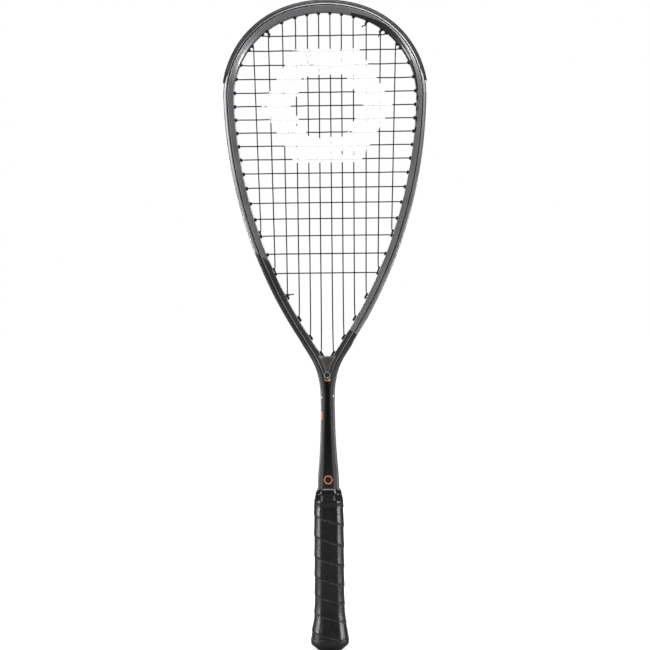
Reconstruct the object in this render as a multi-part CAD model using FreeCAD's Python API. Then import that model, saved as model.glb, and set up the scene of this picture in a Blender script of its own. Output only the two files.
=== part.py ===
"""Squash racket: a hollow teardrop frame with shaft, string bed, guards and a wrapped handle.

Upright, head at the top. X runs across the head, Y through the string bed (front at -Y),
Z along the racket, with the origin at the middle of the butt's end face. Millimetres.
"""
import os

import FreeCAD
import Part

from math import ceil, cos, degrees, pi, radians, sin, sqrt

Vector = FreeCAD.Vector

# ---- driving sizes -------------------------------------------------------------------------

# overall
racket_length = 685.0
guard_thickness = 1.4            # how far the bumper guard stands proud of the tube

# the hoop's centreline, from the apex round to the shaft: (radius, sweep in degrees)
crown_arc = (120.0, 19.0)
shoulder_arc = (93.0, 73.0)
flank_arc = (510.0, 31.0)
throat_radius = 75.0             # the reverse bend that brings each leg upright
leg_offset = 2.0                 # centreline of each leg from the racket's axis at the shaft

# the hoop tube's section: n is across the wall of the head, outwards, and y is through the bed
tube_width = 11.2
tube_depth = 18.0
tube_wall = 1.1
nose_half = 3.5                  # half width of the flat on the inside of the head
crease_depth = 0.5               # the fine line pressed into each face of the tube
groove_width = 6.0               # string groove round the outside of the hoop
groove_depth = 3.0

# strings: the spacings suit one size of head, and open out with a larger one
string_gauge = 1.2
pattern_half_width = 94.1        # half the clear width of the head that they suit
main_gaps_top = (12.0, 12.0, 12.5, 13.8, 15.0, 15.7)
main_gaps_bottom = (11.8, 11.3, 11.8, 12.4, 12.9, 14.7)
cross_count = 17
first_cross_drop = 36.8          # the first cross lies this far below the top of the head
cross_gap = 14.0                 # smallest spacing, at the sweet spot
cross_middle = 7                 # the gap that is smallest
growth_above = 0.045             # how fast the spacing grows each way from there
growth_below = 0.080

# grommets
loop_step = 5.0                  # longest straight in a loop round the outside of the tube
barrel_radius = 1.45
barrel_bore = 0.75
barrel_proud = 2.3               # how far a barrel stands out inside the head
strip_thickness = 1.0
strip_width = 5.4
fit_gap = 0.05                   # clearance between bonded or snapped pieces

# bumper guard
guard_drop = 87.0                # the guard's ends lie this far below the top, in that same head
guard_wrap = 3.4                 # how far the guard reaches over each face of the tube
guard_skin = 0.8                 # thickness of that reach

# shaft, from the throat down: (share of the way from the grip's end up to the legs' foot,
# half width, half depth)
shaft_shares = (
    (0.92, 7.4, 9.4),
    (0.73, 7.65, 9.6),
    (0.54, 8.5, 9.8),
    (0.34, 9.6, 9.9),
    (0.21, 10.4, 10.0),
    (0.08, 10.9, 10.0),
)
shaft_rise = 30.2                # the shaft's solid root reaches this far above the legs' foot
shaft_wall = 1.4
shaft_corner = 0.42              # share of the smaller half size that each corner's bevel takes
cavity_rise = 15.2
channel_rise = 10.2
channel_foot = 8.5               # the channel ends this far above the grip
channel_depth = 0.9
channel_half_widths = (2.2, 1.8, 2.65, 3.05, 4.85)

# throat
bridge_rise = 40.2               # top of the bridge above the legs' foot
bridge_height = 7.5
bridge_depth = 15.0
web_pocket_depth = 0.8

# handle, outside of the wrap: (height, half width, half depth)
handle_stations = (
    (12.5, 20.0, 17.2),
    (21.0, 19.0, 16.2),
    (31.0, 17.2, 14.7),
    (42.0, 16.4, 14.0),
    (54.0, 16.0, 13.8),
    (137.0, 16.0, 13.8),
    (147.0, 15.8, 13.7),
    (158.0, 14.8, 13.2),
    (163.0, 13.9, 12.7),
)
handle_face = 0.5                # flat on the front and back, as a share of the half width
handle_side = 0.46               # flat on each side, as a share of the half depth
wrap_thickness = 1.7
tape_thickness = 0.25
tape_bottom_z = 150.0
wrap_top_z = 158.0

# butt cap: its bare base, (height, half width, half depth)
cap_stations = (
    (0.0, 13.0, 10.4),
    (1.6, 14.0, 11.3),
    (5.0, 18.6, 15.8),
    (7.4, 20.1, 17.3),
    (12.2, 20.1, 17.3),
)
cap_skirt_top = 44.0
cap_floor = 3.5
pallet_gap = 0.6                 # width of the seam between the two pallets
pallet_foot = (12.6, 11.5)       # half sizes of the pallets inside the cap
plug_length = 12.0

# staples and tack
staple_span = 9.0
staple_wire = 0.45
staple_leg = 1.8
staple_z = 34.0
tack_head = 2.6
tack_pin = 0.5
tack_z = 26.0

# rubber collar
collar_height = 6.8
collar_clearance = 0.3
collar_top_wall = 0.8
collar_foot_wall = 2.6
collar_roll = 1.2                # height of the rounded foot

os.makedirs("parts", exist_ok=True)


# ---- the hoop's centreline -------------------------------------------------------------------

class Stretch:
    """One arc or straight of the centreline, in the XZ plane, for the right-hand side."""

    def __init__(self, start, heading, length, radius):
        self.start = start
        self.heading = heading       # angle turned so far from +X, clockwise seen from the front
        self.length = length
        self.radius = radius         # positive bends inwards, negative outwards, None is straight

    def outward(self, along):
        angle = self.heading
        if self.radius is not None:
            angle += along / self.radius
        return angle

    def point(self, along):
        turn = self.outward(along)
        if self.radius is None:
            return (self.start[0] + along * cos(turn), self.start[1] - along * sin(turn))
        centre = self.centre()
        return (centre[0] + self.radius * sin(turn), centre[1] + self.radius * cos(turn))

    def centre(self):
        return (self.start[0] - self.radius * sin(self.heading),
                self.start[1] - self.radius * cos(self.heading))


def hoop_line():
    """The centreline from the apex to the shaft, as a list of stretches."""
    stretches = []
    point = (0.0, racket_length - guard_thickness - tube_width / 2)
    heading = 0.0
    for radius, sweep in (crown_arc, shoulder_arc, flank_arc):
        stretches.append(Stretch(point, heading, radius * radians(sweep), radius))
        point = stretches[-1].point(stretches[-1].length)
        heading = stretches[-1].outward(stretches[-1].length)
    slope = heading - pi / 2
    run = (point[0] - leg_offset - throat_radius * (1 - cos(slope))) / sin(slope)
    stretches.append(Stretch(point, heading, run, None))
    point = stretches[-1].point(run)
    stretches.append(Stretch(point, heading, throat_radius * slope, -throat_radius))
    return stretches


hoop = hoop_line()
hoop_length = sum(stretch.length for stretch in hoop)


def hoop_at(along, n=0.0):
    """Point and outward direction at a distance along the centreline, n to the outside of it."""
    for stretch in hoop:
        if along <= stretch.length or stretch is hoop[-1]:
            break
        along -= stretch.length
    x, z = stretch.point(along)
    turn = stretch.outward(along)
    out = Vector(sin(turn), 0, cos(turn))
    return Vector(x, 0, z) + out * n, out


def find_along(coordinate, target, low, high, n):
    """Distance along the hoop where one coordinate of the line n outside it meets a target."""
    rising = getattr(hoop_at(high, n)[0], coordinate) > getattr(hoop_at(low, n)[0], coordinate)
    for _ in range(50):
        middle = (low + high) / 2
        if (getattr(hoop_at(middle, n)[0], coordinate) > target) == rising:
            high = middle
        else:
            low = middle
    return (low + high) / 2


def widest_along():
    """Distance along the hoop to its widest point, where it heads straight down."""
    along = 0.0
    turn = 0.0
    for stretch in hoop:
        full = stretch.outward(stretch.length)
        if full >= pi / 2:
            return along + (pi / 2 - turn) * stretch.radius
        along += stretch.length
        turn = full


def sweep_hoop(profile, low, high):
    """Solid of a closed (n, y) profile carried along the right-hand side of the hoop."""
    pieces = []
    passed = 0.0
    for stretch in hoop:
        begin = max(low - passed, 0.0)
        end = min(high - passed, stretch.length)
        passed += stretch.length
        if end - begin < 1e-6:
            continue
        origin, out = hoop_at(passed - stretch.length + begin)
        corners = [origin + out * n + Vector(0, y, 0) for n, y in profile]
        face = Part.Face(Part.makePolygon(corners + corners[:1]))
        if stretch.radius is None:
            turn = stretch.outward(begin)
            pieces.append(face.extrude(Vector(cos(turn), 0, -sin(turn)) * (end - begin)))
        else:
            x, z = stretch.centre()
            angle = degrees((end - begin) / stretch.radius)
            pieces.append(face.revolve(Vector(x, 0, z), Vector(0, 1, 0), angle))
    return join(pieces)


# ---- heights that follow from the hoop -------------------------------------------------------

leg_foot_z = hoop_at(hoop_length)[0].z
grip_end_z = handle_stations[-1][0]
shaft_stations = [(grip_end_z + share * (leg_foot_z - grip_end_z), half_x, half_y)
                  for share, half_x, half_y in shaft_shares]
shaft_top_z = leg_foot_z + shaft_rise
shaft_cavity_top = leg_foot_z + cavity_rise
channel_top_z = leg_foot_z + channel_rise
channel_bottom_z = grip_end_z + channel_foot
bridge_top_z = leg_foot_z + bridge_rise
bridge_bottom_z = bridge_top_z - bridge_height


# ---- small helpers ---------------------------------------------------------------------------

def join(shapes):
    """Fuse shapes into one and clean the seams between them."""
    whole = shapes[0]
    if len(shapes) > 1:
        whole = whole.multiFuse(shapes[1:])
    return whole.removeSplitter()


def mirrored(shape):
    """The same shape on the other side of the racket's YZ plane."""
    return shape.mirror(Vector(0, 0, 0), Vector(1, 0, 0))


def both_sides(shape):
    return join([shape, mirrored(shape)])


def mirror_y(points):
    """Close a half profile of (n, y) points, given for y > 0, with its mirror image."""
    return list(points) + [(n, -y) for n, y in reversed(points)]


def eight_sided(half_width, half_depth, flat_x, flat_y, z):
    """A flat-sided section with bevelled corners, at height z."""
    quarter = [(half_width, flat_y), (flat_x, half_depth)]
    ring = quarter + [(-x, y) for x, y in reversed(quarter)]
    ring += [(-x, -y) for x, y in quarter] + [(x, -y) for x, y in reversed(quarter)]
    corners = [Vector(x, y, z) for x, y in ring]
    return Part.makePolygon(corners + corners[:1])


def loft(wires):
    return Part.makeLoft(wires, True, True)


def between(stations, z):
    """Sizes at height z, by straight lines between (height, half width, half depth) stations."""
    rows = sorted(stations)
    for low, high in zip(rows, rows[1:]):
        if z <= high[0]:
            break
    share = (z - low[0]) / (high[0] - low[0])
    return [a + (b - a) * share for a, b in zip(low[1:], high[1:])]


def levels(stations, low, high):
    """The stations' heights between two levels, with the levels themselves."""
    return [low] + [z for z, _, _ in sorted(stations) if low + 0.1 < z < high - 0.1] + [high]


def rod(start, end, radius):
    """A straight round bar between two points."""
    line = end - start
    return Part.makeCylinder(radius, line.Length, start, line)


def box(half_x, half_y, low_z, high_z):
    return Part.makeBox(2 * half_x, 2 * half_y, high_z - low_z, Vector(-half_x, -half_y, low_z))


def write(name, shape):
    """Check a sub-part and store it under its node's name."""
    solids = shape.Solids
    whole = solids[0] if len(solids) == 1 else Part.makeCompound(solids)
    if not solids or not whole.isValid():
        raise RuntimeError(name + " is not a sound solid")
    whole.exportStep("parts/" + name + ".step")
    print(name, len(solids), "solids", round(sum(s.Volume for s in solids)), "mm3")


# ---- profiles ------------------------------------------------------------------------------

inner_n = -tube_width / 2
outer_n = tube_width / 2
groove_floor = outer_n - groove_depth
half_depth = tube_depth / 2
ridge_n = -0.5                   # where the inner slope meets the crease
crease_n = 0.2
face_n = 0.9                     # the outer flat runs from here to its rounded corner
corner_n = outer_n - 1.3
corner_y = half_depth - 1.4
weave_offset = string_gauge / 2 + 0.02
track_floor = groove_floor + fit_gap + strip_thickness
track_half = string_gauge + 0.4
loop_n = track_floor + string_gauge / 2 + fit_gap
mouth_n = inner_n - barrel_proud
bend_n = mouth_n - string_gauge / 2 - fit_gap


def tube_profile():
    return mirror_y((
        (inner_n, nose_half),
        (ridge_n, half_depth - 0.3),
        (crease_n, half_depth - 0.3 - crease_depth),
        (face_n, half_depth),
        (corner_n, half_depth),
        (outer_n, corner_y),
        (outer_n, groove_width / 2),
        (groove_floor, groove_width / 2),
    ))


def cavity_profile():
    cavity_y = half_depth - tube_wall - 0.6
    return mirror_y((
        (inner_n + tube_wall, nose_half - tube_wall / 2),
        (ridge_n, cavity_y),
        (groove_floor - tube_wall, cavity_y),
    ))


def guard_profile():
    """The guard's hat: over the outside and both faces, a rib in the groove, a track in the rib."""
    wrap_n = outer_n - guard_wrap
    skin_y = half_depth + guard_skin
    half = (
        (track_floor, track_half),
        (outer_n + guard_thickness, track_half),
        (outer_n + guard_thickness, corner_y),
        (corner_n + 0.3, skin_y),
        (wrap_n, skin_y),
        (wrap_n, half_depth + fit_gap),
        (corner_n, half_depth + fit_gap),
        (outer_n + fit_gap, corner_y),
        (outer_n + fit_gap, strip_width / 2),
        (groove_floor + fit_gap, strip_width / 2),
    )
    return mirror_y(half)


def strip_profile():
    return mirror_y((
        (track_floor, strip_width / 2),
        (groove_floor + fit_gap, strip_width / 2),
    ))


# ---- where the strings go ------------------------------------------------------------------

side_along = widest_along()
string_spread = hoop_at(side_along, mouth_n)[0].x / pattern_half_width


def running_sum(gaps):
    """Distances from the axis, from half the middle gap and then each further gap."""
    places = [gaps[0] / 2 * string_spread]
    for gap in gaps[1:]:
        places.append(places[-1] + gap * string_spread)
    return places


main_tops = [find_along("x", x, 0, side_along, mouth_n) for x in running_sum(main_gaps_top)]
main_bottoms = [find_along("x", x, side_along, hoop_length, mouth_n)
                for x in running_sum(main_gaps_bottom)]


def cross_heights():
    heights = [racket_length - first_cross_drop * string_spread]
    for gap in range(1, cross_count):
        away = gap - cross_middle
        growth = growth_above if away < 0 else growth_below
        heights.append(heights[-1] - (cross_gap + growth * away * away) * string_spread)
    return heights


cross_stations = [find_along("z", z, 0, hoop_length, mouth_n) for z in cross_heights()]
guard_end = find_along("z", racket_length - guard_drop * string_spread, 0, side_along, 0)
throat_start = (main_bottoms[4] + main_bottoms[3]) / 2
throat_end = find_along("z", shaft_top_z + 1.5, side_along, hoop_length, outer_n)
grommets = [(along, weave_offset) for along in main_tops + main_bottoms]
grommets += [(along, -weave_offset) for along in cross_stations]


def bored(radius, along, y, low_n, high_n):
    """A round bar across the tube wall at one grommet."""
    point, out = hoop_at(along)
    level = point + Vector(0, y, 0)
    return rod(level + out * low_n, level + out * high_n, radius)


def with_grommets(base, low, high):
    """A strip with a hollow barrel for each string hole between two stations."""
    here = [(along, y) for along, y in grommets if low < along < high]
    barrels = [bored(barrel_radius, along, y, mouth_n, track_floor - 0.2) for along, y in here]
    bores = [bored(barrel_bore, along, y, mouth_n - 1, track_floor + 1) for along, y in here]
    return join([base] + barrels).cut(Part.makeCompound(bores))


def string_line(points):
    """Round string along straight runs, with a ball at each bend."""
    runs = [rod(start, end, string_gauge / 2) for start, end in zip(points, points[1:])]
    balls = [Part.makeSphere(string_gauge / 2, point) for point in points[1:-1]]
    return join(runs + balls)


def string_run(first, second, y):
    """One straight of string between two grommets, each given as (distance along, side)."""
    points = []
    for place, order in ((first, (loop_n, bend_n)), (second, (bend_n, loop_n))):
        along, side = place
        for n in order:
            point, _ = hoop_at(along, n)
            points.append(Vector(side * point.x, y, point.z))
    return points


def loop_points(first, second, y):
    """The short loop round the outside of the tube from one grommet to the next."""
    low = first[0] * first[1]
    high = second[0] * second[1]
    steps = ceil(abs(high - low) / loop_step)
    points = []
    for step in range(1, steps):
        along = low + (high - low) * step / steps
        point, _ = hoop_at(abs(along), loop_n)
        side = 1 if along >= 0 else -1
        points.append(Vector(side * point.x, y, point.z))
    return points


def serpentine(runs, y):
    """One string through every run in turn, each a pair of (distance along, side) places."""
    points = []
    for number, (start, end) in enumerate(runs):
        if number % 2:
            start, end = end, start
        if number:
            points += loop_points(last, start, y)
        points += string_run(start, end, y)
        last = end
    return string_line(points)


# ---- the frame -------------------------------------------------------------------------------

def leg_outline(z):
    """Half width of the racket's outline where the legs bend into the shaft."""
    bend = throat_radius - outer_n
    rise = max(z - leg_foot_z, 0.0)
    return leg_offset + throat_radius - sqrt(bend * bend - rise * rise)


def shaft_section(z, inset=0.0):
    """Bevelled section of the shaft at height z, inset all round."""
    top = shaft_stations[0]
    if z <= shaft_stations[-1][0]:
        half_x, half_y = shaft_stations[-1][1:]
    elif z <= top[0]:
        half_x, half_y = between(shaft_stations, z)
    else:
        share = min((z - top[0]) / (shaft_top_z - top[0]), 1.0)
        half_x = max(leg_outline(z), top[1])
        half_y = top[2] + (half_depth - 0.6 - top[2]) * share
    bevel = shaft_corner * min(half_x, half_y)
    flat = (half_x - bevel, half_y - bevel)
    return eight_sided(half_x - inset, half_y - inset, flat[0] - inset / 2, flat[1] - inset / 2, z)


def shaft_solid(low, high, inset=0.0):
    bend_levels = [leg_foot_z + step * (shaft_top_z - leg_foot_z) / 5 for step in range(6)]
    heights = [z for z, _, _ in shaft_stations] + bend_levels
    inside = sorted(z for z in heights if low + 0.5 < z < high - 0.5)
    return loft([shaft_section(z, inset) for z in [low] + inside + [high]])


def face_channel():
    """The long recess down one face of the shaft, between its two rails."""
    step = (channel_top_z - channel_bottom_z) / (len(channel_half_widths) - 1)
    wires = []
    for row, half_x in enumerate(channel_half_widths):
        z = channel_top_z - row * step
        half_y = between(shaft_stations, min(z, shaft_stations[0][0]))[1]
        if z > shaft_stations[0][0]:
            half_y = shaft_stations[0][2]
        floor = half_y - channel_depth
        corners = [Vector(x, y, z) for x, y in
                   ((-half_x, floor), (half_x, floor), (half_x, floor + 3), (-half_x, floor + 3))]
        wires.append(Part.makePolygon(corners + corners[:1]))
    return loft(wires)


def web_pocket():
    """The shallow three-sided dish under the bridge, on one face."""
    floor = half_depth - 0.6 - web_pocket_depth
    corners = [Vector(x, floor, z) for x, z in
               ((-4.6, shaft_top_z - 2), (4.6, shaft_top_z - 2), (0, channel_top_z + 1))]
    face = Part.Face(Part.makePolygon(corners + corners[:1]))
    return face.extrude(Vector(0, 4, 0))


def front_and_back(shape):
    return [shape, shape.mirror(Vector(0, 0, 0), Vector(0, 1, 0))]


def frame():
    tube_end = find_along("z", shaft_top_z - 4, side_along, hoop_length, 0)
    cavity_end = find_along("z", shaft_top_z + 3, side_along, hoop_length, 0)
    tubes = both_sides(sweep_hoop(tube_profile(), 0, tube_end))
    cavities = both_sides(sweep_hoop(cavity_profile(), 0, cavity_end))
    body = join([tubes, shaft_solid(cap_floor + fit_gap, shaft_top_z)])
    body = body.cut([cavities, shaft_solid(-1, shaft_cavity_top, shaft_wall)])
    body = body.cut(front_and_back(face_channel()) + front_and_back(web_pocket()))
    holes = [bored(barrel_radius + fit_gap, along, y, inner_n - 1, groove_floor + 1)
             for along, y in grommets]
    return body.cut(holes + [mirrored(hole) for hole in holes])


def throat_bridge():
    """The wedge bonded between the legs, with a hollowed upper edge."""
    block = box(9.0, bridge_depth / 2, bridge_bottom_z, bridge_top_z)
    clear = mirror_y(((inner_n - fit_gap, half_depth + 1), (outer_n, half_depth + 1)))
    legs = sweep_hoop(clear, main_bottoms[2], hoop_length)
    scoop = Part.makeCylinder(14.0, 40, Vector(0, -20, bridge_top_z + 12.6), Vector(0, 1, 0))
    holes = [bored(barrel_radius + fit_gap, main_bottoms[0], weave_offset, mouth_n - 2, inner_n)]
    holes += [mirrored(holes[0])]
    return block.cut([legs, mirrored(legs), scoop] + holes)


# ---- the handle ------------------------------------------------------------------------------

def handle_section(z, inset=0.0):
    half_x, half_y = [size - inset for size in between(handle_stations, z)]
    return eight_sided(half_x, half_y, half_x * handle_face, half_y * handle_side, z)


def handle_solid(low, high, inset=0.0):
    return loft([handle_section(z, inset) for z in levels(handle_stations, low, high)])


def cap_section(row):
    z, half_x, half_y = row
    return eight_sided(half_x, half_y, half_x * handle_face, half_y * handle_side, z)


def staple_parts(grow=0.0):
    """One wire staple on the front and one on the back, each a crown and two legs."""
    depth = between(handle_stations, staple_z)[1] - wrap_thickness - fit_gap
    wire = staple_wire + grow
    crown_y = depth - staple_wire
    shapes = []
    for side in (-1, 1):
        foot = side * (crown_y - staple_leg)
        ends = [Vector(x * staple_span / 2, side * crown_y, staple_z) for x in (-1, 1)]
        legs = [rod(end, Vector(end.x, foot, end.z), wire) for end in ends]
        balls = [Part.makeSphere(wire, end) for end in ends]
        shapes.append(join([rod(ends[0], ends[1], wire)] + legs + balls))
    return shapes


def tack_solid(grow=0.0):
    """The tack that holds the start of the wrap, driven in from one side."""
    half_x = between(handle_stations, tack_z)[0] - wrap_thickness / 2
    head = rod(Vector(half_x - 0.3 - grow, 0, tack_z), Vector(half_x + 0.1 + grow, 0, tack_z),
               tack_head + grow)
    pin = rod(Vector(half_x, 0, tack_z), Vector(half_x - 5.5 - grow, 0, tack_z), tack_pin + grow)
    return join([head, pin])


def pallet_foot_solid(low, high, grow=0.0):
    """The slimmer foot of the two pallets, which the butt cap's skirt slips over."""
    half_x, half_y = [size + grow for size in pallet_foot]
    flats = (half_x * handle_face, half_y * handle_side)
    return loft([eight_sided(half_x, half_y, *flats, z) for z in (low, high)])


def butt_cap():
    base = loft([cap_section(row) for row in cap_stations])
    skin = wrap_thickness + fit_gap
    neck = handle_section(handle_stations[0][0] + 0.1, skin).translated(Vector(0, 0, -2.0))
    skirt = loft([neck] + [handle_section(z, skin) for z in
                           levels(handle_stations, handle_stations[0][0], cap_skirt_top)])
    socket = pallet_foot_solid(cap_floor, cap_skirt_top + 1, fit_gap)
    tools = [socket] + staple_parts(fit_gap) + [tack_solid(fit_gap)]
    return join([base, skirt]).cut(tools)


def pallets():
    """The two shells bonded round the shaft, front and back of its middle plane."""
    upper = handle_solid(cap_skirt_top + fit_gap, grip_end_z, wrap_thickness + fit_gap)
    lower = pallet_foot_solid(cap_floor + fit_gap, cap_skirt_top + 1)
    core = shaft_solid(-1, grip_end_z + 1, -fit_gap)
    seam = box(40, pallet_gap / 2, -1, grip_end_z + 1)
    tools = [core, seam] + staple_parts(fit_gap) + [tack_solid(fit_gap)]
    halves = join([upper, lower]).cut(tools).Solids
    front = [half for half in halves if half.CenterOfMass.y < 0]
    back = [half for half in halves if half.CenterOfMass.y > 0]
    return front, back


def grip_wrap():
    sleeve = handle_solid(handle_stations[0][0], wrap_top_z, 0.0)
    core = handle_solid(handle_stations[0][0], wrap_top_z, wrap_thickness)
    return sleeve.cut([core, tack_solid(fit_gap)])


def finishing_tape():
    """The band over the wrap's last turn and the bare end of the pallets."""
    top = grip_end_z
    band = handle_solid(tape_bottom_z, top, -tape_thickness - fit_gap)
    over_wrap = handle_solid(tape_bottom_z, wrap_top_z + fit_gap, -fit_gap)
    over_pallets = handle_solid(wrap_top_z, top, wrap_thickness)
    over_shaft = shaft_solid(tape_bottom_z, top + 1, -fit_gap)
    return band.cut([over_wrap, over_pallets, over_shaft])


def grip_collar():
    """The rubber ring that sits on the end of the grip and slides up the shaft for rewrapping."""
    seat = grip_end_z + fit_gap
    bore_x, bore_y = [size + collar_clearance for size in shaft_stations[-1][1:]]
    sections = []
    for rise, wall in ((0.0, collar_foot_wall - 0.6), (collar_roll, collar_foot_wall),
                       (2.6 * collar_roll, collar_foot_wall - 0.3),
                       (collar_height, collar_top_wall)):
        half_x, half_y = bore_x + wall, bore_y + wall
        z = seat + rise
        sections.append(eight_sided(half_x, half_y, half_x * 0.62, half_y * 0.58, z))
    return loft(sections).cut(shaft_solid(seat - 1, seat + collar_height + 1, -collar_clearance))


def end_plug():
    half_x, half_y = [size - shaft_wall - fit_gap for size in shaft_stations[-1][1:]]
    bevel = shaft_corner * shaft_stations[-1][2]
    wires = [eight_sided(half_x, half_y, half_x - bevel, half_y - bevel, z)
             for z in (cap_floor + fit_gap, cap_floor + plug_length)]
    return loft(wires)


# ---- the strings -------------------------------------------------------------------------------

def main_string():
    """All the mains as one string, down and up from the right-hand side to the left."""
    mains = list(zip(main_tops, main_bottoms))
    right = [((top, 1), (bottom, 1)) for top, bottom in reversed(mains)]
    left = [((top, -1), (bottom, -1)) for top, bottom in mains]
    return serpentine(right + left, weave_offset)


def cross_string():
    """All the crosses as one string, from side to side and down the head."""
    return serpentine([((along, -1), (along, 1)) for along in cross_stations], -weave_offset)


# ---- write every sub-part ------------------------------------------------------------------------

def main():
    write("frame", frame())
    write("throat_bridge", throat_bridge())
    guard = with_grommets(sweep_hoop(guard_profile(), 0, guard_end), -1, guard_end)
    write("bumper_guard", both_sides(guard))
    strip = with_grommets(sweep_hoop(strip_profile(), guard_end + 0.3, throat_start - 0.15),
                          guard_end, throat_start)
    throat = with_grommets(sweep_hoop(strip_profile(), throat_start + 0.15, throat_end),
                           throat_start, throat_end)
    for side, strip_half, throat_half in (("right", strip, throat),
                                          ("left", mirrored(strip), mirrored(throat))):
        write("grommet_strip_" + side, strip_half)
        write("throat_grommets_" + side, throat_half)
    write("main_string", main_string())
    write("cross_string", cross_string())
    front, back = pallets()
    write("pallet_front", Part.makeCompound(front))
    write("pallet_back", Part.makeCompound(back))
    write("shaft_end_plug", end_plug())
    write("butt_cap", butt_cap())
    write("butt_cap_staples", Part.makeCompound(staple_parts()))
    write("grip_tack", tack_solid())
    write("grip_wrap", grip_wrap())
    write("finishing_tape", finishing_tape())
    write("grip_collar", grip_collar())


main()
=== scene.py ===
from math import ceil, cos, degrees, hypot, pi, radians, sin

import bmesh
import bpy
from mathutils import Matrix, Vector


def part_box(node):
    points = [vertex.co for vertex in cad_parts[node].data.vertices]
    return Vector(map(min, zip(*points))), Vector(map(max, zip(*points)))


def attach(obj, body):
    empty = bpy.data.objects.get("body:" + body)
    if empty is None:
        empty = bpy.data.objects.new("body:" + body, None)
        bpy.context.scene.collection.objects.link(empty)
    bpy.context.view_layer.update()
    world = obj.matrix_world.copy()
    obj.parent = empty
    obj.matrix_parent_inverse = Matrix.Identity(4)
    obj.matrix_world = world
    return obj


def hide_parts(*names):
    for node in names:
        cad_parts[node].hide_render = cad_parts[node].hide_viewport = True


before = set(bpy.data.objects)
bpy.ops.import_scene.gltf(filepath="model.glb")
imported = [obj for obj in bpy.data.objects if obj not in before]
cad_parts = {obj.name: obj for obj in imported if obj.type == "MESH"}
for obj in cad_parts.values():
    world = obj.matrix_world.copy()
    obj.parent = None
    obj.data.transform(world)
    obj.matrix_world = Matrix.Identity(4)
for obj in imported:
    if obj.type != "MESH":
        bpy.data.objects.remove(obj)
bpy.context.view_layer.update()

mm = 0.001
scene = bpy.context.scene


class nodeValue:
    # One output in a material; sums and comparisons of it become maths nodes

    def __init__(self, tree, socket):
        self.tree, self.socket = tree, socket

    def maths(self, operation, *values):
        node = addNode(self.tree, "ShaderNodeMath", operation=operation)
        for socket, value in zip(node.inputs, values):
            feed(socket, value)
        return nodeValue(self.tree, node.outputs[0])

    def __add__(self, other):
        return self.maths("ADD", self, other)

    def __sub__(self, other):
        return self.maths("SUBTRACT", self, other)

    def __rsub__(self, other):
        return self.maths("SUBTRACT", other, self)

    def __mul__(self, other):
        return self.maths("MULTIPLY", self, other)

    def __gt__(self, other):
        return self.maths("GREATER_THAN", self, other)

    def __lt__(self, other):
        return self.maths("LESS_THAN", self, other)

    def __or__(self, other):
        return self.maths("MAXIMUM", self, other)

    def __and__(self, other):
        return self.maths("MINIMUM", self, other)

    def __abs__(self):
        return self.maths("ABSOLUTE", self)

    def between(self, low, high):
        return (self > low) * (self < high)

    def spread(self, low, high, toLow=0.0, toHigh=1.0):
        # Moved from one range to another and held at its ends
        node = addNode(self.tree, "ShaderNodeMapRange")
        for socket, value in zip(node.inputs, (self, low, high, toLow, toHigh)):
            feed(socket, value)
        return nodeValue(self.tree, node.outputs[0])


def addNode(tree, kind, **settings):
    node = tree.nodes.new(kind)
    for name, value in settings.items():
        setattr(node, name, value)
    return node


def feed(socket, value):
    # Gives a socket an output to follow, a colour or a number
    if isinstance(value, nodeValue):
        value.tree.links.new(value.socket, socket)
    elif isinstance(value, tuple):
        socket.default_value = (*value, 1)
    else:
        socket.default_value = value


def setInputs(node, **values):
    for name, value in values.items():
        feed(node.inputs[name.replace("_", " ")], value)


def mixColour(tree, mask, first, second, blend="MIX"):
    node = addNode(tree, "ShaderNodeMix", data_type="RGBA", blend_type=blend)
    for index, value in zip((0, 6, 7), (mask, first, second)):
        feed(node.inputs[index], value)
    return nodeValue(tree, node.outputs[2])


def objectPlace(tree):
    # The object coordinates, whole and then as x, y and z
    place = nodeValue(tree, addNode(tree, "ShaderNodeTexCoord").outputs["Object"])
    split = addNode(tree, "ShaderNodeSeparateXYZ")
    setInputs(split, Vector=place)
    return place, [nodeValue(tree, output) for output in split.outputs]


def attributeValue(tree):
    node = addNode(tree, "ShaderNodeAttribute", attribute_name="across")
    return nodeValue(tree, node.outputs["Fac"])


def cellDistance(tree, place, scale):
    node = addNode(tree, "ShaderNodeTexVoronoi", feature="F1")
    setInputs(node, Scale=scale, Vector=place)
    return nodeValue(tree, node.outputs["Distance"])


def cameraRays(tree):
    return nodeValue(tree, addNode(tree, "ShaderNodeLightPath").outputs["Is Camera Ray"])


view = {
    "distance": 1.60,       # camera to the racket's axis
    "swing": 2.0,           # degrees round towards the right-hand side
    "roll": -0.545,         # degrees, so that the head leans a little left
    "sensor": 36.0,
    "tall": 0.687,          # height of the frame at the racket's axis
    "aside": -0.0022,       # the axis stands a little right of the middle
    "height": 0.3423,
}
floorSettings = {
    "size": 60.0, "drop": -0.0005, "colour": (0.28, 0.28, 0.28), "roughness": 0.8,
    "shadow": (0.03, 0.45, 0.75, 1.0),      # soft contact shadow, white further out
}
lamps = {
    # name: (place, size, power, colour)
    "keyRight": ((1.0, -1.7, 1.5), (0.9, 0.9), 20, (1.0, 0.99, 0.98)),
    "fillLeft": ((-1.3, -1.4, 0.9), (0.7, 0.9), 13, (0.98, 0.99, 1.0)),
    "stripRight": ((1.15, -0.22, 0.14), (0.22, 0.26), 3.7, (1.0, 1.0, 1.0)),
    "stripLeft": ((-1.15, -0.22, 0.14), (0.22, 0.26), 4.6, (1.0, 0.98, 0.93)),
    "topFront": ((0.30, -1.2, 1.88), (1.6, 0.3), 8, (1.0, 1.0, 1.0)),
    "topStrip": ((0.0, -0.3, 1.7), (1.4, 0.4), 26, (1.0, 1.0, 1.0)),
    "backRight": ((1.1, 1.4, 1.1), (0.7, 1.0), 18, (1.0, 1.0, 1.0)),
    "backLeft": ((-1.1, 1.4, 0.9), (0.7, 1.0), 14, (1.0, 1.0, 1.0)),
}
lampAim = 0.36              # the highest point that a lamp is turned to
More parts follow.
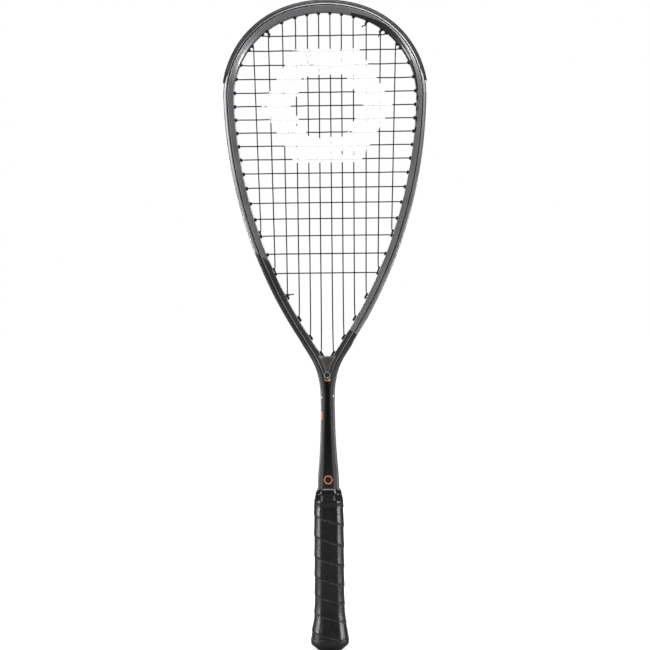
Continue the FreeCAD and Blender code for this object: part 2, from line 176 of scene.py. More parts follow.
ambientLight = 0.10


def makeCamera():
    cameraData = bpy.data.cameras.new("mainCamera")
    camera = bpy.data.objects.new("mainCamera", cameraData)
    scene.collection.objects.link(camera)
    cameraData.sensor_width = view["sensor"]
    cameraData.lens = view["sensor"] * view["distance"] / view["tall"]
    turn = Matrix.Rotation(radians(view["swing"]), 4, "Z")
    place = Matrix.Translation((view["aside"], -view["distance"], view["height"]))
    aim = Matrix.Rotation(radians(90), 4, "X") @ Matrix.Rotation(radians(view["roll"]), 4, "Z")
    camera.matrix_world = turn @ place @ aim
    scene.camera = camera


def makeFloor():
    material = bpy.data.materials.new("paleFloor")
    material.use_nodes = True
    tree = material.node_tree
    away = addNode(tree, "ShaderNodeVectorMath", operation="LENGTH")
    feed(away.inputs[0], objectPlace(tree)[0])
    glow = nodeValue(tree, away.outputs["Value"]).spread(*floorSettings["shadow"])
    setInputs(tree.nodes["Principled BSDF"], Base_Color=floorSettings["colour"],
              Roughness=floorSettings["roughness"], Emission_Color=(1, 1, 1),
              Emission_Strength=glow * cameraRays(tree))
    mesh = bpy.data.meshes.new("floor")
    bm = bmesh.new()
    bmesh.ops.create_grid(bm, x_segments=2, y_segments=2, size=floorSettings["size"])
    bm.to_mesh(mesh)
    bm.free()
    floor = bpy.data.objects.new("floor", mesh)
    floor.location.z = floorSettings["drop"]
    scene.collection.objects.link(floor)
    mesh.materials.append(material)


def makeLights():
    for name, (place, size, power, colour) in lamps.items():
        lampData = bpy.data.lights.new(name, "AREA")
        lampData.shape = "RECTANGLE"
        lampData.size, lampData.size_y = size
        lampData.energy = power
        lampData.color = colour
        lamp = bpy.data.objects.new(name, lampData)
        lamp.location = place
        aim = Vector((0, 0, min(place[2], lampAim))) - Vector(place)
        lamp.rotation_euler = aim.to_track_quat("-Z", "Y").to_euler()
        scene.collection.objects.link(lamp)
    world = bpy.data.worlds.new("studio")
    world.use_nodes = True
    tree = world.node_tree
    seen = tree.nodes["Background"]             # the white sweep behind the racket
    ambient = addNode(tree, "ShaderNodeBackground")
    setInputs(seen, Color=(1, 1, 1))
    setInputs(ambient, Color=(1, 1, 1), Strength=ambientLight)
    mix = addNode(tree, "ShaderNodeMixShader")
    feed(mix.inputs[0], cameraRays(tree))
    tree.links.new(ambient.outputs[0], mix.inputs[1])
    tree.links.new(seen.outputs[0], mix.inputs[2])
    tree.links.new(mix.outputs[0], tree.nodes["World Output"].inputs["Surface"])
    scene.world = world
    scene.view_settings.view_transform = "Standard"


makeCamera()
makeFloor()
makeLights()
print("stage set")

hoop = {
    "arcs": ((120.0, 19.0), (93.0, 73.0), (510.0, 31.0)),    # radius in mm, sweep in degrees
    "throatRadius": 75.0,
    "legOffset": 2.0,
    "halfWidth": 5.6,
    "halfDepth": 9.0,
    "widest": 71.0,         # degrees round the second arc
}
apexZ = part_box("frame")[1].z / mm - hoop["halfWidth"]


def hoopStretches():
    # (x, z, heading, length, radius) of each arc and straight, from the apex to the shaft
    stretches = []
    x, z, heading = 0.0, apexZ, 0.0
    for radius, sweep in hoop["arcs"]:
        stretches.append((x, z, heading, radius * radians(sweep), radius))
        x += radius * (sin(heading + radians(sweep)) - sin(heading))
        z += radius * (cos(heading + radians(sweep)) - cos(heading))
        heading += radians(sweep)
    slope = heading - pi / 2
    bend = hoop["throatRadius"]
    run = (x - hoop["legOffset"] - bend * (1 - cos(slope))) / sin(slope)
    stretches.append((x, z, heading, run, None))
    x += run * cos(heading)
    z -= run * sin(heading)
    stretches.append((x, z, heading, bend * slope, -bend))
    return stretches


stretches = hoopStretches()
hoopLength = sum(stretch[3] for stretch in stretches)


def hoopAt(along, n=0.0):
    # Point (x, z) and heading at a distance along the hoop, n to the outside, all in mm
    for x, z, heading, length, radius in stretches:
        if along <= length or radius == -hoop["throatRadius"]:
            break
        along -= length
    if radius is None:
        x += along * cos(heading)
        z -= along * sin(heading)
    else:
        centreX = x - radius * sin(heading)
        centreZ = z - radius * cos(heading)
        heading += along / radius
        x = centreX + radius * sin(heading)
        z = centreZ + radius * cos(heading)
    return x + n * sin(heading), z + n * cos(heading), heading


def hoopRing(place, section):
    # The section's (n, y) points as they stand at a place on the hoop
    x, z, heading = place
    return [(x + n * sin(heading), y, z + n * cos(heading)) for n, y in section]


def findAlong(axis, target, low, high, n):
    # The distance along the hoop at which x (0) or z (1) comes to a value
    rising = hoopAt(high, n)[axis] > hoopAt(low, n)[axis]
    for _ in range(40):
        middle = (low + high) / 2
        if (hoopAt(middle, n)[axis] > target) == rising:
            high = middle
        else:
            low = middle
    return (low + high) / 2


sideAlong = stretches[0][3] + hoop["arcs"][1][0] * radians(hoop["widest"])


def newGroup(name, inputs, outputs):
    group = bpy.data.node_groups.new(name, "ShaderNodeTree")
    for label, value in inputs.items():
        socket = group.interface.new_socket(label, in_out="INPUT", socket_type="NodeSocketFloat")
        socket.default_value = value
    for label in outputs:
        group.interface.new_socket(label, in_out="OUTPUT", socket_type="NodeSocketFloat")
    given = addNode(group, "NodeGroupInput")
    values = [nodeValue(group, given.outputs[label]) for label in inputs]
    return group, values, addNode(group, "NodeGroupOutput")


def makeGrainGroup():
    # Fine moulded grain and slow unevenness, as a roughness, a height and a drift
    group, (grainSize, slowSize, low, high), result = newGroup(
        "mouldedGrain",
        {"Grain Size": 2500.0, "Slow Size": 60.0, "Low Roughness": 0.3, "High Roughness": 0.5},
        ("Roughness", "Height", "Slow"))
    place, _ = objectPlace(group)
    noises = []
    for scale, detail, rough in ((grainSize, 2.0, 0.6), (slowSize, 3.0, 0.55)):
        node = addNode(group, "ShaderNodeTexNoise", noise_dimensions="3D")
        setInputs(node, Vector=place, Scale=scale, Detail=detail, Roughness=rough)
        noises.append(nodeValue(group, node.outputs["Fac"]))
    fine, slow = noises
    rough = (fine * 0.45 + slow * 0.55).spread(0.32, 0.68, low, high)
    setInputs(result, Roughness=rough, Height=fine, Slow=slow)
    return group


def makeHexGroup():
    # A flat-topped six-sided ring on the XZ plane: 1 on the ring, 0 off it
    group, (centreX, centreZ, radius, width), result = newGroup(
        "hexRing", {"Centre X": 0.0, "Centre Z": 0.0, "Radius": 0.01, "Width": 0.003}, ("Mask",))
    _, (x, _, z) = objectPlace(group)
    up = abs(z - centreZ)
    reach = (abs(x - centreX) * cos(pi / 6) + up * 0.5) | up
    setInputs(result, Mask=(reach < radius) * (reach > radius - width))
    return group


def placeGroup(tree, group, **values):
    node = addNode(tree, "ShaderNodeGroup", node_tree=group)
    setInputs(node, **values)
    return {output.name: nodeValue(tree, output) for output in node.outputs}


grainGroup = makeGrainGroup()
hexGroup = makeHexGroup()


def startFinish(name, finish):
    # A new material with its grain, and its dark and light colours drifting together
    material = bpy.data.materials.new(name)
    material.use_nodes = True
    tree = material.node_tree
    grain = placeGroup(tree, grainGroup, Grain_Size=finish["grain"], Slow_Size=finish["slow"],
                       Low_Roughness=finish["rough"][0], High_Roughness=finish["rough"][1])
    return material, tree, grain, mixColour(tree, grain["Slow"], finish["dark"], finish["light"])


def endFinish(tree, finish, grain, colour, height=None, **values):
    shader = tree.nodes["Principled BSDF"]
    values = {"Base_Color": colour, "Roughness": grain["Roughness"],
              "Metallic": finish.get("metal", 0.0), "Coat_Weight": finish.get("coat", 0.0),
              "Coat_Roughness": finish.get("coatRough", 0.12),
              "Specular_IOR_Level": finish.get("specular", 0.4)} | values
    setInputs(shader, **values)
    bump = addNode(tree, "ShaderNodeBump")
    setInputs(bump, Strength=finish["bump"], Distance=0.0001, Height=height or grain["Height"])
    tree.links.new(bump.outputs["Normal"], shader.inputs["Normal"])


def plainFinish(name, finish):
    # One colour, moulded, wound or foamed
    material, tree, grain, colour = startFinish(name, finish)
    endFinish(tree, finish, grain, colour)
    return material


finishes = {
    "grommetNylon": {"dark": (0.003, 0.003, 0.003), "light": (0.009, 0.009, 0.009),
                     "rough": (0.42, 0.6), "grain": 2600.0, "slow": 120.0, "bump": 0.08,
                     "specular": 0.12},
    "capNylon": {"dark": (0.005, 0.005, 0.0055), "light": (0.014, 0.014, 0.015),
                 "rough": (0.3, 0.44), "grain": 1800.0, "slow": 60.0, "bump": 0.15},
    "collarRubber": {"dark": (0.003, 0.003, 0.003), "light": (0.008, 0.008, 0.008),
                     "rough": (0.14, 0.24), "grain": 1500.0, "slow": 80.0, "bump": 0.05,
                     "coat": 0.5},
    "tapeVinyl": {"dark": (0.004, 0.004, 0.004), "light": (0.010, 0.010, 0.010),
                  "rough": (0.2, 0.34), "grain": 900.0, "slow": 70.0, "bump": 0.1},
    "palletFoam": {"dark": (0.32, 0.29, 0.22), "light": (0.46, 0.43, 0.35),
                   "rough": (0.75, 0.95), "grain": 1400.0, "slow": 45.0, "bump": 0.6},
    "plugFoam": {"dark": (0.03, 0.03, 0.03), "light": (0.08, 0.08, 0.08),
                 "rough": (0.8, 0.95), "grain": 1700.0, "slow": 90.0, "bump": 0.7},
    "stapleSteel": {"dark": (0.42, 0.42, 0.44), "light": (0.62, 0.62, 0.64),
                    "rough": (0.22, 0.4), "grain": 3000.0, "slow": 200.0, "bump": 0.05,
                    "metal": 1.0},
}
stringCoat = {
    "dark": (0.003, 0.003, 0.003), "light": (0.010, 0.010, 0.010), "rough": (0.28, 0.45),
    "grain": 3500.0, "slow": 140.0, "bump": 0.08, "specular": 0.12,
    "ring": {"Centre_X": 0.002, "Centre_Z": 0.574, "Radius": 0.060, "Width": 0.027},
    "worn": (0.3, 0.42), "white": (0.90, 0.90, 0.89),
}
wrapUrethane = {
    "dark": (0.004, 0.004, 0.004), "light": (0.010, 0.0098, 0.0096), "rough": (0.20, 0.36),
    "grain": 1500.0, "slow": 75.0, "bump": 0.14,
    "pores": 900.0, "poreSize": 0.25, "poreColour": (0.003, 0.003, 0.003),
    # painted highlight: a pale band along the lower edge of each turn, patchy with the slow drift
    "lip": 0.03, "seamHighlightColour": (0.17, 0.17, 0.17),      # light edge of each turn
}
bridgeLacquer = {
    "dark": (0.040, 0.036, 0.034), "light": (0.072, 0.066, 0.062), "rough": (0.32, 0.45),
    "grain": 5200.0, "slow": 120.0, "bump": 0.04, "metal": 0.35, "coat": 0.3, "coatRough": 0.1,
    "specular": 0.5, "rimHeight": 0.3098, "rimColour": (0.015, 0.015, 0.015),
}
discInlay = {
    "dark": (0.010, 0.010, 0.010), "light": (0.022, 0.022, 0.022), "rough": (0.25, 0.4),
    "grain": 3000.0, "slow": 200.0, "bump": 0.05, "specular": 0.5,
    "height": 0.2896, "ring": (0.0027, 0.0033), "ringColour": (0.30, 0.28, 0.28),
}
guardRidgeHighlights = {
    "dark": (0.005, 0.005, 0.0055), "light": (0.016, 0.015, 0.016), "rough": (0.34, 0.5),
    "grain": 2200.0, "slow": 70.0, "bump": 0.12, "specular": 0.35,
    # painted highlight: the raised ridges are coloured a patchy dull grey
    "ridges": ((3.5, 4.22), (4.62, 5.3)), "ridgeHighlight": (0.095, 0.088, 0.092), "ridgeHighlightShare": 1.4,
}


def makeStringCoat():
    # Black nylon with a white six-sided ring stencilled over the middle of the bed
    material, tree, grain, black = startFinish("stringCoat", stringCoat)
    ring = placeGroup(tree, hexGroup, **stringCoat["ring"])["Mask"]
    mask = ring * grain["Slow"].spread(*stringCoat["worn"])
    endFinish(tree, stringCoat, grain, mixColour(tree, mask, black, stringCoat["white"]))
    return material


def makeWrapUrethane():
    # Glossy black with fine pores and slow patches of handling gloss in its roughness, and a
    # painted highlight along the lower edge of each turn
    material, tree, grain, black = startFinish("wrapUrethane", wrapUrethane)
    pores = cellDistance(tree, objectPlace(tree)[0], wrapUrethane["pores"])
    dots = pores.spread(0.0, wrapUrethane["poreSize"])
    colour = mixColour(tree, dots, wrapUrethane["poreColour"], black)
    # painted highlight on the lower edge of each turn
    seamHighlight = (attributeValue(tree) < wrapUrethane["lip"]) * grain["Slow"]
    colour = mixColour(tree, seamHighlight, colour, wrapUrethane["seamHighlightColour"])
    endFinish(tree, wrapUrethane, grain, colour, dots * 0.5 + grain["Height"])
    return material


def makeBridgeLacquer():
    # A little lighter than the legs round it
    material, tree, grain, colour = startFinish("bridgeLacquer", bridgeLacquer)
    rim = objectPlace(tree)[1][2] > bridgeLacquer["rimHeight"]
    colour = mixColour(tree, rim, colour, bridgeLacquer["rimColour"])
    endFinish(tree, bridgeLacquer, grain, colour)
    return material


def makeDiscInlay():
    # A plain round inlay: dark, with a lighter ring inside its rim
    material, tree, grain, black = startFinish("discInlay", discInlay)
    x, _, z = objectPlace(tree)[1]
    up = z - discInlay["height"]
    away = up.maths("SQRT", up * up + x * x)
    ring = away.between(*discInlay["ring"])
    endFinish(tree, discInlay, grain, mixColour(tree, ring, black, discInlay["ringColour"]))
    return material


def makeGuardRidgeHighlights():
    # Black moulded nylon whose raised ridges carry a patchy painted highlight in dull grey
    material, tree, grain, black = startFinish("guardRidgeHighlights", guardRidgeHighlights)
    across = attributeValue(tree)
    first, second = (across.between(*ridge) for ridge in guardRidgeHighlights["ridges"])
    litRidges = (first | second) * (grain["Slow"] * guardRidgeHighlights["ridgeHighlightShare"])
    endFinish(tree, guardRidgeHighlights, grain, mixColour(tree, litRidges, black, guardRidgeHighlights["ridgeHighlight"]))
    return material


materials = {name: plainFinish(name, finish) for name, finish in finishes.items()}
materials |= {"stringCoat": makeStringCoat(), "guardNylon": makeGuardRidgeHighlights(),
              "wrapUrethane": makeWrapUrethane(), "bridgeLacquer": makeBridgeLacquer(),
              "discInlay": makeDiscInlay()}
print("finishes made", len(materials))


def addPiece(name, mesh, body, material, nodes):
    # A mesh in metres becomes a piece that rides on a body
    piece = bpy.data.objects.new(name, mesh)
    scene.collection.objects.link(piece)
    mesh.materials.clear()
    mesh.materials.append(materials[material])
    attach(piece, body)
    if nodes:
        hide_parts(*nodes)


def newPiece(name, bm, body, material, nodes=(), sharp=35.0):
    # Turns a bmesh in mm into a piece, with edges sharp above an angle
    bmesh.ops.remove_doubles(bm, verts=bm.verts, dist=0.002)
    bmesh.ops.recalc_face_normals(bm, faces=bm.faces)
    bmesh.ops.scale(bm, vec=(mm, mm, mm), verts=bm.verts)
    for face in bm.faces:
        face.smooth = True
    for edge in bm.edges:
        edge.smooth = len(edge.link_faces) == 2 and edge.calc_face_angle(0.0) < radians(sharp)
    mesh = bpy.data.meshes.new(name)
    bm.to_mesh(mesh)
    bm.free()
    addPiece(name, mesh, body, material, nodes)


def ofKind(items, kind):
    return [item for item in items if isinstance(item, kind)]


def allOf(bm):
    return bm.verts[:] + bm.edges[:] + bm.faces[:]


def closedRing(bm, points):
    # Vertices joined in a ring, from a few points
    verts = [bm.verts.new(point) for point in points]
    edges = [bm.edges.new((a, b)) for a, b in zip(verts, verts[1:] + verts[:1])]
    return verts, edges


def mirrorHalf(half):
    # A whole (n, y) profile from its half with y above zero, given in order
    return list(half) + [(n, -y) for n, y in reversed(half)]


def extrudeRing(bm, edges):
    made = bmesh.ops.extrude_edge_only(bm, edges=edges)["geom"]
    return (ofKind(made, bmesh.types.BMVert),
            [edge for edge in ofKind(made, bmesh.types.BMEdge) if edge.is_boundary])


def fillEnd(bm, edges):
    bmesh.ops.edgeloop_fill(bm, edges=edges)


def carryRings(bm, edges, rings, slot):
    # Extrude a ring through further rings, each vertex following its place in the profile
    for ring in rings:
        verts, edges = extrudeRing(bm, edges)
        for vert in verts:
            vert.co = ring[vert[slot]]
    return edges


def ringTube(bm, rings, fillStart=False, fillFinish=False):
    # A tube through closed rings of points that are all in the same order
    slot = bm.verts.layers.int.get("slot") or bm.verts.layers.int.new("slot")
    verts, first = closedRing(bm, rings[0])
    for number, vert in enumerate(verts):
        vert[slot] = number
    last = carryRings(bm, first, rings[1:], slot)
    if fillStart:
        fillEnd(bm, first)
    if fillFinish:
        fillEnd(bm, last)


sweepStep = {"degrees": 2.0, "mm": 6.0}     # longest steps round a bend


def sweepHoop(bm, profile, low, high):
    # Carry a closed (n, y) profile along the right-hand side of the hoop with spins, and give
    # the first and last rings' edges. Each vertex keeps its n in the layer across, in mm
    across = bm.verts.layers.float.new("across")
    verts, edges = closedRing(bm, hoopRing(hoopAt(low), profile))
    for vert, (n, y) in zip(verts, profile):
        vert[across] = n
    first = edges
    passed = 0.0
    for startX, startZ, startHeading, length, radius in stretches:
        begin, end = max(low - passed, 0.0), min(high - passed, length)
        passed += length
        if end - begin < 1e-6:
            continue
        if radius is None:
            for _ in range(2):
                verts, edges = extrudeRing(bm, edges)
                step = (end - begin) / 2
                move = (step * cos(startHeading), 0, -step * sin(startHeading))
                bmesh.ops.translate(bm, vec=move, verts=verts)
            continue
        centre = (startX - radius * sin(startHeading), 0, startZ - radius * cos(startHeading))
        angle = (end - begin) / radius
        steps = max(2, ceil(max(abs(degrees(angle)) / sweepStep["degrees"],
                                (end - begin) / sweepStep["mm"])))
        made = bmesh.ops.spin(bm, geom=verts + edges, cent=centre, axis=(0, 1, 0), angle=angle,
                              steps=steps, use_merge=False, use_duplicate=False)["geom_last"]
        verts, edges = ofKind(made, bmesh.types.BMVert), ofKind(made, bmesh.types.BMEdge)
    return first, edges


tube = {
    "half": (                       # inside of the head first, then round to the string groove
        (-5.6, 0.6), (-5.6, 2.3), (-5.4, 3.3), (-4.6, 4.4), (-2.4, 6.3), (0.0, 8.1),
        (0.35, 8.42), (0.65, 8.36), (0.95, 7.85), (1.3, 7.85), (1.6, 8.7), (1.8, 9.0),
        (2.1, 9.05), (3.2, 8.72), (4.0, 8.5), (4.75, 8.15), (5.3, 7.5), (5.6, 6.4),
        (5.6, 4.8), (5.58, 3.3), (5.3, 3.02), (2.8, 2.95), (2.6, 2.7), (2.6, 0.8),
    ),
    "creaseInner": 0.7,             # everything inside this line becomes web and channel floor
    "lipInner": 0.3,                # from here to the crease the lip stays while the web rises
    "channelEdge": 0.65,
    "grooveLip": 3.4, "grooveInner": 1.0,
    "webFloor": 7.9,
    "channelFloor": 8.0,
    "raiseTop": 293.0, "raiseFull": 286.0,
    "channelTop": 281.0, "channelEase": 1.5,
    "fillStart": 303.0, "fillEnd": 290.0,
    "pullIn": 0.65,                 # how far the legs close in over the lower bend
    "pullStart": 312.0, "pullEnd": 292.0,
    "trimWhole": 298.0,             # above this height the trim reaches the inside of the leg
    "steps": 3.0,                   # spacing of the rings down the bend and shaft
    "softHalf": 3.6, "softRange": (284.0, 303.0), "softDepth": 6.5, "softPasses": 4,
}
shaftShape = (
    # height, half width of the channel, half width and half depth of the shaft
    (270.0, 1.95, 6.95, 9.2), (262.0, 1.8, 6.75, 9.4), (242.0, 2.2, 7.05, 9.6),
    (232.0, 2.6, 7.45, 9.7), (221.0, 2.85, 7.9, 9.8), (211.0, 3.1, 8.4, 9.85),
    (200.0, 3.4, 9.0, 9.9), (186.0, 4.0, 9.9, 10.0), (172.0, 4.5, 10.7, 10.0),
    (163.0, 4.6, 10.8, 10.0), (3.6, 4.6, 10.8, 10.0),
)
trim = (
    # height, how far the outer edge of the leg or shaft moves in
    (420.0, 0.0), (400.0, 0.3), (369.0, 0.6), (348.0, 1.1), (330.0, 1.65), (322.0, 1.5),
    (313.0, 1.1), (305.0, 0.6), (298.0, 0.0), (290.0, -0.5), (284.0, -0.7), (274.0, -0.5),
    (262.0, -0.35), (242.0, -0.25), (220.0, -0.15), (200.0, -0.3), (182.0, -0.7), (163.0, -0.3),
)
trimInner = 0.4                     # share of it that reaches the inside of the leg


def eased(value, start, end):
    # 0 at start, 1 at end, with a soft start and finish
    share = min(max((value - start) / (end - start), 0.0), 1.0)
    return share * share * (3 - 2 * share)


def fromTable(table, height):
    rows = sorted(table)
    if height <= rows[0][0]:
        return rows[0][1:]
    for low, high in zip(rows, rows[1:]):
        if height <= high[0]:
            share = (height - low[0]) / (high[0] - low[0])
            return tuple(a + (b - a) * share for a, b in zip(low[1:], high[1:]))
    return rows[-1][1:]


def legSection(height):
    # The tube's section where it turns into web, channel and rail on the way down
    top, ease = tube["channelTop"], tube["channelEase"]
    raised = eased(height, tube["raiseTop"], tube["raiseFull"])
    channel = eased(height, top + ease, top - ease)
    filled = eased(height, tube["fillStart"], tube["fillEnd"])
    section = []
    for n, y in tube["half"]:
        if n < tube["creaseInner"]:
            floor = tube["webFloor"] + (tube["channelFloor"] - tube["webFloor"]) * channel
            lip = 1.0 - channel if n > tube["lipInner"] else 0.0
            y += (floor - y) * raised * (1 - lip)
        if y < tube["grooveLip"] and n > tube["grooveInner"]:
            n += (hoop["halfWidth"] - n) * filled
        section.append((n, y))
    return mirrorHalf(section)


def numberRing(bm, edges, place, profile):
    # Gives each vertex of a ring its place in the profile, in the layer slot
    slot = bm.verts.layers.int.new("slot")
    verts = {vert for edge in edges for vert in edge.verts}
    for number, target in enumerate(hoopRing(place, profile)):
        min(verts, key=lambda vert: (vert.co - Vector(target)).length)[slot] = number
    return slot


def bendRings(start, length):
    # Rings down the lower bend, as far as the top of the shaft
    rings = []
    count = ceil(length / tube["steps"])
    for step in range(count):
        x, z, heading = hoopAt(start + length * (step + 1) / count)
        pull = tube["pullIn"] * eased(z, tube["pullStart"], tube["pullEnd"])
        rings.append(hoopRing((x - pull, z, heading), legSection(z)))
    return rings, z


def shaftRings(top):
    rings, rows = [], []
    heights = [row[0] for row in shaftShape]
    for high, low in zip([top] + heights[1:], heights[1:]):
        parts = max(1, ceil((high - low) / (3 * tube["steps"])))
        rows += [high + (low - high) * (part + 1) / parts for part in range(parts)]
    for height in rows:
        edge, outer, depth = fromTable(shaftShape, height)
        stretch = (outer - edge) / (hoop["halfWidth"] - tube["channelEdge"])
        ring = []
        for n, y in legSection(height):
            beyond = n - tube["channelEdge"]
            x = edge + beyond * (stretch if beyond > 0 else 1.0)
            ring.append((x, y * depth / hoop["halfDepth"], height))
        rings.append(ring)
    return rings


def trimLegs(bm):
    across = bm.verts.layers.float["across"]
    half = hoop["halfWidth"]
    for vert in bm.verts:
        if trim[-1][0] < vert.co.z < trim[0][0]:
            if vert.co.z > tube["trimWhole"]:
                share = trimInner + (1 - trimInner) * (vert[across] + half) / (2 * half)
            else:
                share = (vert[across] - tube["channelEdge"]) / (half - tube["channelEdge"])
                share = min(max(share, 0.0), 1.0)
            move = fromTable(trim, vert.co.z)[0] * share
            vert.co.x -= min(move, abs(vert.co.x)) * (1 if vert.co.x > 0 else -1)


def makeFrame():
    bm = bmesh.new()
    bend = stretches[-1][3]
    profile = mirrorHalf(tube["half"])
    _, edges = sweepHoop(bm, profile, 0.0, hoopLength - bend)
    slot = numberRing(bm, edges, hoopAt(hoopLength - bend), profile)
    rings, top = bendRings(hoopLength - bend, bend)
    fillEnd(bm, carryRings(bm, edges, rings + shaftRings(top), slot))
    bmesh.ops.bisect_plane(bm, geom=allOf(bm), dist=1e-5, plane_co=(0, 0, 0),
                           plane_no=(1, 0, 0), clear_inner=True)
    bmesh.ops.mirror(bm, geom=allOf(bm), axis="X", merge_dist=0.01)
    trimLegs(bm)
    low, high = tube["softRange"]
    web = [vert for vert in bm.verts if abs(vert.co.x) < tube["softHalf"]
           and low < vert.co.z < high and abs(vert.co.y) > tube["softDepth"]]
    for _ in range(tube["softPasses"]):
        bmesh.ops.smooth_vert(bm, verts=web, factor=0.5, use_axis_y=True)
    newPiece("frameShell", bm, "root", "frameLacquer", ["frame"], sharp=38.0)


paint = {
    "dark": (0.195, 0.192, 0.203), "light": (0.270, 0.266, 0.283),       # silver of the head
    "rough": (0.30, 0.42), "grain": 5200.0, "slow": 26.0, "bump": 0.04,
    "coat": 0.4, "coatRough": 0.08, "specular": 0.5,
    # painted highlight: the outer facets take a lighter copy of the silver
    "rim": ((0.215, 0.212, 0.224), (0.305, 0.301, 0.316)), "litRimFrom": 0.42,
    "leg": ((0.014, 0.013, 0.013), (0.029, 0.027, 0.026)),
    "rail": ((0.060, 0.058, 0.057), (0.092, 0.088, 0.088)),
    "splits": ((-0.664, 0.3698), (-0.66, 0.3530)),      # left, right: slope, height at the axis
    "facetFrom": 0.9, "facetFade": (0.330, 0.283),      # the outer facets lighten downwards
    "fleckScale": 6500.0, "fleck": (0.1, 0.8, 0.88, 1.08),
    "faceDepth": 0.0068, "frontDepth": -0.006,
    # painted shade: a dark line down the crease of the tube; painted highlight: a pale line along
    # the crease's lip, patchy with the slow drift
    "crease": (0.012, 0.012, 0.012), "creaseShadeAcross": (0.72, 1.75), "creaseShadeFoot": 0.165,
    "lip": (0.30, 0.30, 0.31), "lipHighlightAcross": (-0.2, 0.62), "lipHighlightShare": 1.1,
    "channel": (0.003, 0.003, 0.003), "channelAcross": 0.66,
    "channelTop": 0.2832, "channelFoot": 0.1705,
    # painted highlight: a pale, non-metallic line just inside the guard round the top of the head
    "highlightLine": (0.80, 0.80, 0.82), "highlightAcross": (1.75, 3.3),       # pale line in the guard
    "highlightRise": (0.600, 0.640), "highlightLeft": (-0.075, 0.0, 0.15, 0.85),
    "flash": (0.022, 0.021, 0.023),
    "orange": (0.52, 0.19, 0.10), "patch": ((-0.0090, -0.0054), (0.2430, 0.2518)),
    "ring": {"Centre_X": 0.0, "Centre_Z": 0.1795, "Radius": 0.0044, "Width": 0.0012},
    "copper": (0.50, 0.17, 0.08), "bar": ((-0.0032, 0.0032), (0.2832, 0.2847)),
    "white": (0.62, 0.62, 0.62),
    "dashes": (((-0.0066, -0.0056), (0.2652, 0.2672)), ((0.0056, 0.0066), (0.2665, 0.2685))),
    "metal": 0.8, "metalLoss": 0.5, "channelGloss": 0.6,
}
flash = {
    "rise": (0.580, 0.650, -4.4, -0.3),     # heights, then n of its edge, below its widest
    "fall": (0.675, 0.657, -4.8, -0.3),
    "from": 0.580, "dashFrom": 0.540, "dashEdge": -3.4, "dashCount": 90.0, "dashShare": 0.45,
    "slope": 0.1, "right": 0.028,
}


def splitMask(x, z):
    # 1 below the slanting line, on each leg, where the head's silver gives way to anthracite
    left, right = (x * slope + height for slope, height in paint["splits"])
    return z < left + (right - left) * (x > 0.0)


def boxMask(x, z, xRange, zRange):
    return x.between(*xRange) * z.between(*zRange)


def flashMask(x, y, z, n):
    # A tapered dark flash on the inner slope of the upper right, with dashes below it
    edge = z.spread(*flash["rise"]) & z.spread(*flash["fall"])
    solid = (n < edge) * (z > flash["from"])
    step = z.maths("FRACT", z * flash["dashCount"])
    dashed = (step < flash["dashShare"]) * (n < flash["dashEdge"]) * (z > flash["dashFrom"])
    return (solid | dashed) * (n < flash["slope"]) * (x > flash["right"]) * (y < 0.0)


def makeLacquer():
    # Satin metallic grey over the head, anthracite at the throat, rails and a black channel
    material, tree, grain, silver = startFinish("frameLacquer", paint)
    place, (x, y, z) = objectPlace(tree)
    across, slow = attributeValue(tree), grain["Slow"]
    below, onShaft = splitMask(x, z), z < paint["channelTop"]
    faces, front = abs(y) > paint["faceDepth"], y < paint["frontDepth"]
    lighter = z.spread(*paint["facetFade"]) * (across > paint["facetFrom"])
    rim, leg, rail = (mixColour(tree, slow, *paint[name]) for name in ("rim", "leg", "rail"))
    # the head's outer facets get the lighter, painted-highlight copy of the silver
    colour = mixColour(tree, below, mixColour(tree, across > paint["litRimFrom"], silver, rim),
                       mixColour(tree, onShaft | lighter, leg, rail))
    colour = mixColour(tree, flashMask(x, y, z, across), colour, paint["flash"])
    sparkle = cellDistance(tree, place, paint["fleckScale"]).spread(*paint["fleck"])
    colour = mixColour(tree, 1.0, colour, sparkle, blend="MULTIPLY")
    channel = (across < paint["channelAcross"]) * onShaft * (z > paint["channelFoot"])
    # painted highlight inside the guard, fading in above a height and fainter on the left
    highlightLine = (z.spread(*paint["highlightRise"]) * x.spread(*paint["highlightLeft"])
                * across.between(*paint["highlightAcross"]))
    ring = placeGroup(tree, hexGroup, **paint["ring"])["Mask"]
    orange = (ring | boxMask(x, z, *paint["patch"])) * front
    first, second = (boxMask(x, z, *dash) for dash in paint["dashes"])
    white = (first | second) * front
    # painted shade in the crease, painted highlights on its lip and inside the guard, then the
    # channel and the prints
    for name, mask in (
            ("crease", across.between(*paint["creaseShadeAcross"]) * faces * (z > paint["creaseShadeFoot"])),
            ("lip", across.between(*paint["lipHighlightAcross"]) * faces
             * ((slow * paint["lipHighlightShare"]) & 1.0)),
            ("channel", channel), ("highlightLine", highlightLine), ("orange", orange),
            ("copper", boxMask(x, z, *paint["bar"]) * front), ("white", white)):
        colour = mixColour(tree, mask, colour, paint[name])
    bare = 1.0 - (orange | white | channel | highlightLine)
    endFinish(tree, paint, grain, colour,
              Metallic=(paint["metal"] - below * paint["metalLoss"]) * bare,
              Roughness=grain["Roughness"] * (1.0 - channel * paint["channelGloss"]))
    return material


materials["frameLacquer"] = makeLacquer()
makeFrame()
print("frame made")

